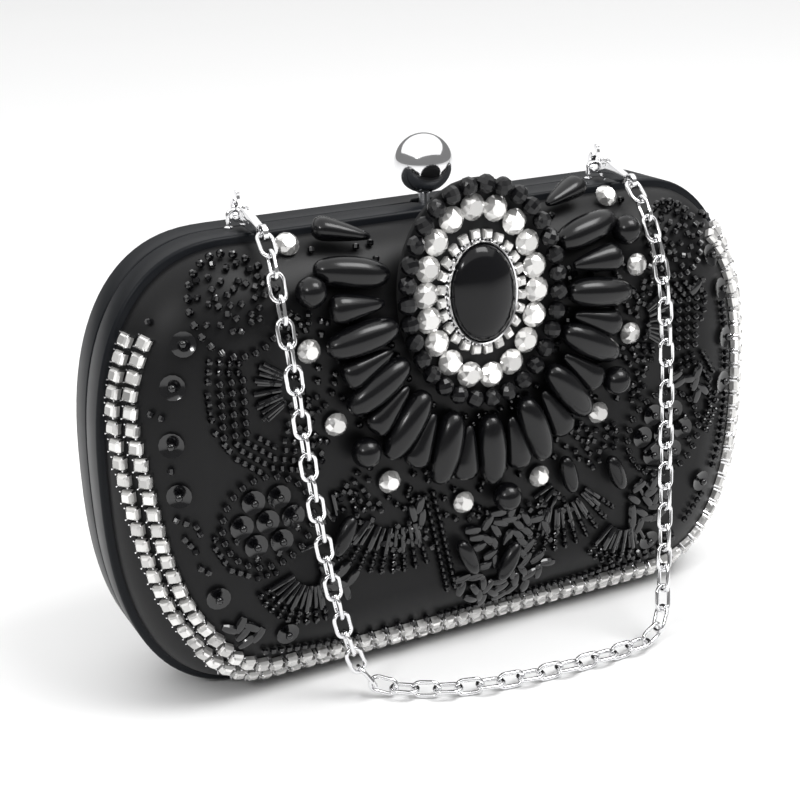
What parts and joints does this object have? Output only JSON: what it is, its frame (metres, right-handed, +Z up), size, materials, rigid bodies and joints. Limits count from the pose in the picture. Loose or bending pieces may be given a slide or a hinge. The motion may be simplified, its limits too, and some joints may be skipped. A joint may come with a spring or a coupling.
{
  "type": "evening bag",
  "caption": "Hard-sided clutch bag with a rounded outline, hinged half shells, a ball clasp on top, a beaded front round an oval medallion and a chain strap.",
  "frame": {"origin": "Middle of the bag's own box on the surface it stands on, without the strap", "axes": "+X along the bag's width, the embroidered face looks towards -Y, +Z up"},
  "size_m": [0.186, 0.0765, 0.133],
  "materials": {
    "frame_lacquer": "smooth black lacquer, soft gloss",
    "board": "moulded board, unpainted",
    "satin": "smooth black satin",
    "lining": "plain woven black lining",
    "steel": "plated steel fittings",
    "bright_metal": "bright plated",
    "clear_stone": "clear foiled cut glass",
    "black_bead": "polished black beads"
  },
  "bodies": {
    "front_half": {"front_frame": "frame_lacquer", "front_shell": "board", "front_cover": "satin", "front_lining": "lining", "front_hinge_leaf": "steel", "hinge_pin": "steel", "clasp_bracket": "steel", "clasp_pin": "steel", "clasp_spring": "steel", "strap_loop_left": "bright_metal", "strap_loop_right": "bright_metal", "medallion_backing": "board", "cabochon": "black_bead", "cabochon_bezel": "bright_metal", "halo_stones_inner": "clear_stone", "halo_stones_outer": "clear_stone", "collar_beads": "black_bead", "petal_beads_long": "black_bead", "petal_beads_drop": "black_bead", "round_beads": "black_bead", "accent_stones": "clear_stone", "border_stones_outer": "clear_stone", "border_stones_inner": "clear_stone", "sequins": "black_bead", "sequin_beads": "black_bead", "bugle_beads": "black_bead", "seed_beads": "black_bead", "pod_beads": "black_bead"},
    "back_half": {"back_frame": "frame_lacquer", "back_shell": "board", "back_cover": "satin", "back_lining": "lining", "back_hinge_leaf": "steel", "catch_plate": "steel"},
    "ball_clasp": {"clasp_ball": "bright_metal", "clasp_lever": "steel"},
    "left_clasp": {"strap_clasp_left": "bright_metal", "clasp_rivet_left": "steel"},
    "right_clasp": {"strap_clasp_right": "bright_metal", "clasp_rivet_right": "steel"},
    "left_trigger": {"clasp_trigger_left": "bright_metal"},
    "right_trigger": {"clasp_trigger_right": "bright_metal"},
    "strap": {"strap_chain_left": "bright_metal", "strap_chain_floor": "bright_metal", "strap_chain_right": "bright_metal"}
  },
  "joints": [
    {"name": "lid_open", "type": "hinge", "parent": "front_half", "child": "back_half", "pos_m": [0, 0.0039, 0.00225], "axis": [-1, 0, 0], "range_deg": [0, 90]},
    {"name": "clasp_press", "type": "hinge", "parent": "front_half", "child": "ball_clasp", "pos_m": [0, -0.0013, 0.1114], "axis": [-1, 0, 0], "range_deg": [0, 10], "stiffness_Nm_per_rad": 0.2, "springref_deg": -1.72},
    {"name": "left_clasp_swing", "type": "hinge", "parent": "front_half", "child": "left_clasp", "pos_m": [-0.051, 0.0023, 0.1202], "axis": [-1, 0, 0], "range_deg": [0, 90]},
    {"name": "right_clasp_swing", "type": "hinge", "parent": "front_half", "child": "right_clasp", "pos_m": [0.051, 0.0023, 0.1202], "axis": [-1, 0, 0], "range_deg": [0, 90]},
    {"name": "left_trigger_press", "type": "hinge", "parent": "left_clasp", "child": "left_trigger", "pos_m": [-0.051, -0.00278, 0.12026], "axis": [-1, 0, 0], "range_deg": [0, 10], "stiffness_Nm_per_rad": 0.02, "springref_deg": -2.86},
    {"name": "right_trigger_press", "type": "hinge", "parent": "right_clasp", "child": "right_trigger", "pos_m": [0.051, -0.00278, 0.12026], "axis": [-1, 0, 0], "range_deg": [0, 10], "stiffness_Nm_per_rad": 0.02, "springref_deg": -2.86},
    {"name": "strap_swing", "type": "hinge", "parent": "left_clasp", "child": "strap", "pos_m": [-0.051, -0.01348, 0.11756], "axis": [-1, 0, 0], "range_deg": [0, 90]}
  ],
  "couplings": [
    {"joint": "right_clasp_swing", "follows": "left_clasp_swing", "ratio": 1}
  ]
}
